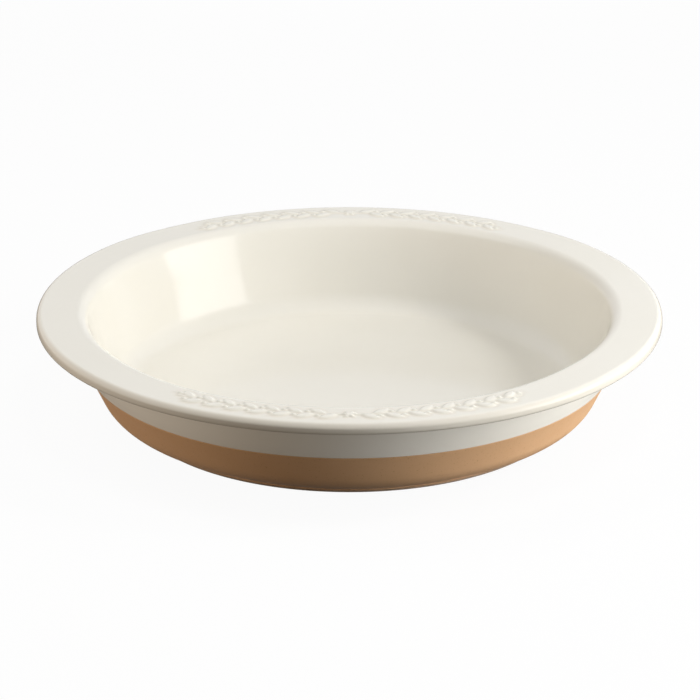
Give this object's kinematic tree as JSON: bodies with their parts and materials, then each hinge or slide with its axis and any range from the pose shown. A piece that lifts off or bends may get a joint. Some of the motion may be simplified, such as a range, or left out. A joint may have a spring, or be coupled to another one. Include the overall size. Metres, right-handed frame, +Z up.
{
  "type": "pie dish",
  "caption": "Round glazed stoneware pie dish with a broad flat rim, leaning wall and foot ring: cream glaze inside and over the rim, cane glaze below.",
  "frame": {"origin": "centre of the foot ring, on the surface that the dish stands on", "axes": "+Z up along the axis of the dish; the dish is round, so X and Y are free"},
  "size_m": [0.26, 0.26, 0.0458],
  "materials": {
    "bare_clay": "matte",
    "cream_glaze": "gloss",
    "cane_glaze": "satin"
  },
  "bodies": {
    "root": {"stoneware_body": "bare_clay", "cream_glaze": "cream_glaze", "cane_glaze": "cane_glaze", "base_glaze": "cane_glaze"}
  },
  "joints": []
}
